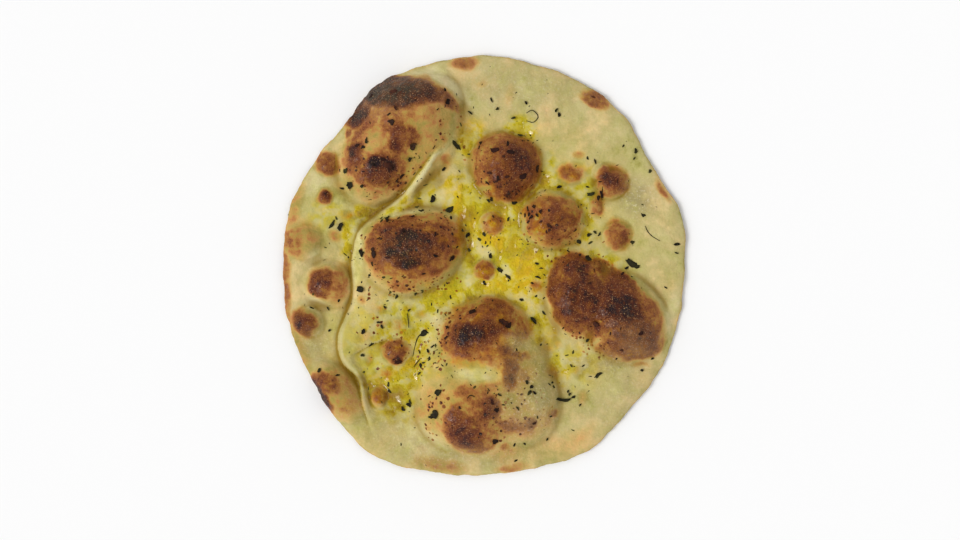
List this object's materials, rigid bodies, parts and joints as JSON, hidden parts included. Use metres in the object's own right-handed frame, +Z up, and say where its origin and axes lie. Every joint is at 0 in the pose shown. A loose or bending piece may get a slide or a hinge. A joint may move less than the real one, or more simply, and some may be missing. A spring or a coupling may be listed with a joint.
{
  "type": "pizza bread",
  "caption": "Round flat pizza bread with tall browned blisters, a fold down its left side, oil in the hollows and dried herb leaves on top.",
  "frame": {"origin": "middle of the outline's box, on the flat underside", "axes": "+Z up out of the blistered top; +Y towards the edge with the tall blister on its left, +X to the right, seen from above"},
  "size_m": [0.2682, 0.2802, 0.027],
  "materials": {
    "baked_dough": "matt floury crust, browned to black on the blisters",
    "dried_herbs": "dull dark green",
    "olive_oil": "clear, wet"
  },
  "bodies": {
    "root": {"bread": "baked_dough"}
  },
  "joints": []
}
